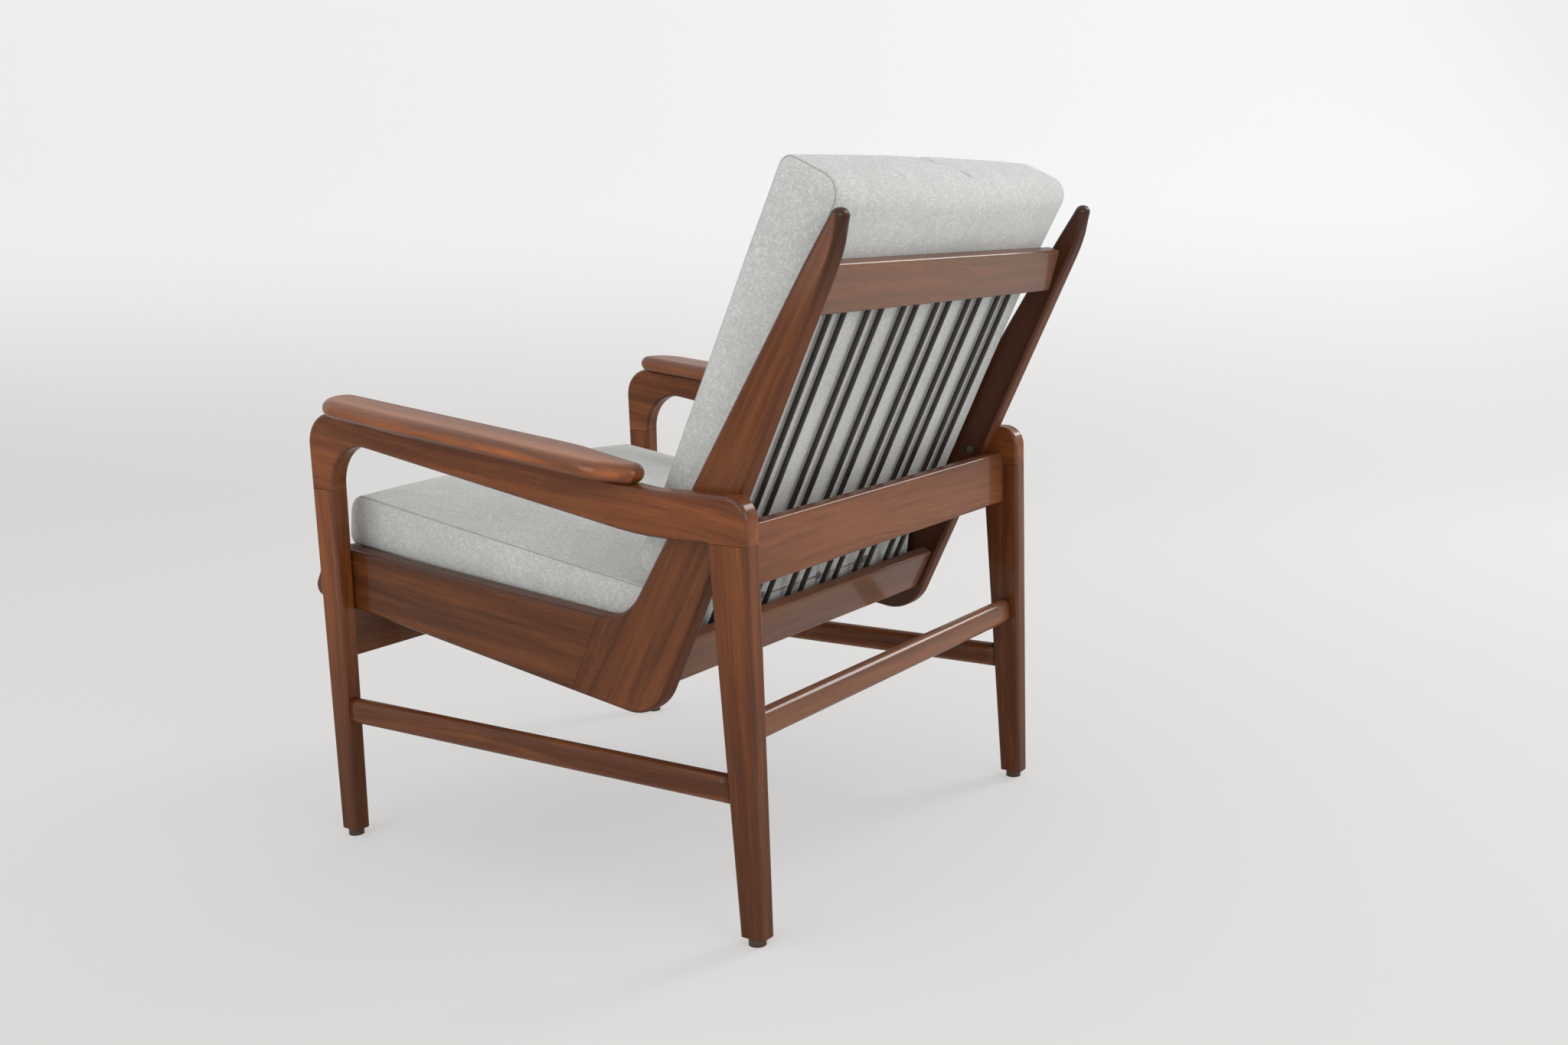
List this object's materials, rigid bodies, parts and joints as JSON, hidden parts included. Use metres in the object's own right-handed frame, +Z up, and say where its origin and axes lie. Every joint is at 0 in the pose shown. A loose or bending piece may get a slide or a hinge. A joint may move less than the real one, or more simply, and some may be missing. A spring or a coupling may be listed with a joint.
{
  "type": "easy chair",
  "caption": "Open-arm easy chair: shaped hardwood side frames and horned back stiles, sleeved tension springs, loose boxed seat and back cushions.",
  "frame": {"origin": "middle of the footprint on the floor, under the glides", "axes": "the chair faces -Y, +Z is up, the occupant's left arm is on +X"},
  "size_m": [0.7106, 0.8326, 0.8453],
  "materials": {
    "side_frame_wood": "satin lacquered red-brown hardwood",
    "panel_wood": "satin lacquered red-brown hardwood",
    "rail_wood": "satin lacquered red-brown hardwood",
    "dowel_wood": "plain beech",
    "cushion_fabric": "light grey mottled chenille",
    "cushion_foam": "open-cell foam",
    "spring_sleeve": "smooth black plastic sleeve",
    "screw_steel": "plain steel",
    "zip_tape": "grey zip tape",
    "glide": "dark brown plastic"
  },
  "bodies": {
    "frame": {"back_spring_1": "spring_sleeve", "back_spring_10": "spring_sleeve", "back_spring_11": "spring_sleeve", "back_spring_12": "spring_sleeve", "back_spring_2": "spring_sleeve", "back_spring_3": "spring_sleeve", "back_spring_4": "spring_sleeve", "back_spring_5": "spring_sleeve", "back_spring_6": "spring_sleeve", "back_spring_7": "spring_sleeve", "back_spring_8": "spring_sleeve", "back_spring_9": "spring_sleeve", "eye_screws": "screw_steel", "frame_dowels": "dowel_wood", "front_crossbar": "rail_wood", "left_arm_paddle": "side_frame_wood", "left_arm_rail": "side_frame_wood", "left_back_stile": "panel_wood", "left_front_glide": "glide", "left_front_leg": "side_frame_wood", "left_rear_glide": "glide", "left_rear_leg": "side_frame_wood", "left_seat_batten": "panel_wood", "left_seat_side_rail": "panel_wood", "left_side_stretcher": "side_frame_wood", "lower_back_rail": "rail_wood", "rear_crossbar": "rail_wood", "rear_stretcher": "rail_wood", "right_arm_paddle": "side_frame_wood", "right_arm_rail": "side_frame_wood", "right_back_stile": "panel_wood", "right_front_glide": "glide", "right_front_leg": "side_frame_wood", "right_rear_glide": "glide", "right_rear_leg": "side_frame_wood", "right_seat_batten": "panel_wood", "right_seat_side_rail": "panel_wood", "right_side_stretcher": "side_frame_wood", "seat_front_rail": "rail_wood", "seat_spring_1": "spring_sleeve", "seat_spring_2": "spring_sleeve", "seat_spring_3": "spring_sleeve", "seat_spring_4": "spring_sleeve", "seat_spring_5": "spring_sleeve", "seat_spring_6": "spring_sleeve", "seat_spring_7": "spring_sleeve", "seat_spring_8": "spring_sleeve", "stile_screws": "screw_steel", "top_back_rail": "rail_wood"},
    "seat_cushion": {"seat_cushion_cover": "cushion_fabric", "seat_cushion_foam": "cushion_foam", "seat_cushion_zip": "zip_tape"},
    "back_cushion": {"back_cushion_cover": "cushion_fabric", "back_cushion_foam": "cushion_foam", "back_cushion_zip": "zip_tape"}
  },
  "joints": [
    {"name": "seat_cushion_lift_out", "type": "slide", "parent": "frame", "child": "seat_cushion", "axis": [0, -0.9877, 0.1564], "range_m": [0, 0.55]},
    {"name": "back_cushion_lift_out", "type": "slide", "parent": "frame", "child": "back_cushion", "axis": [0, 0.4431, 0.8965], "range_m": [0, 0.5]}
  ]
}
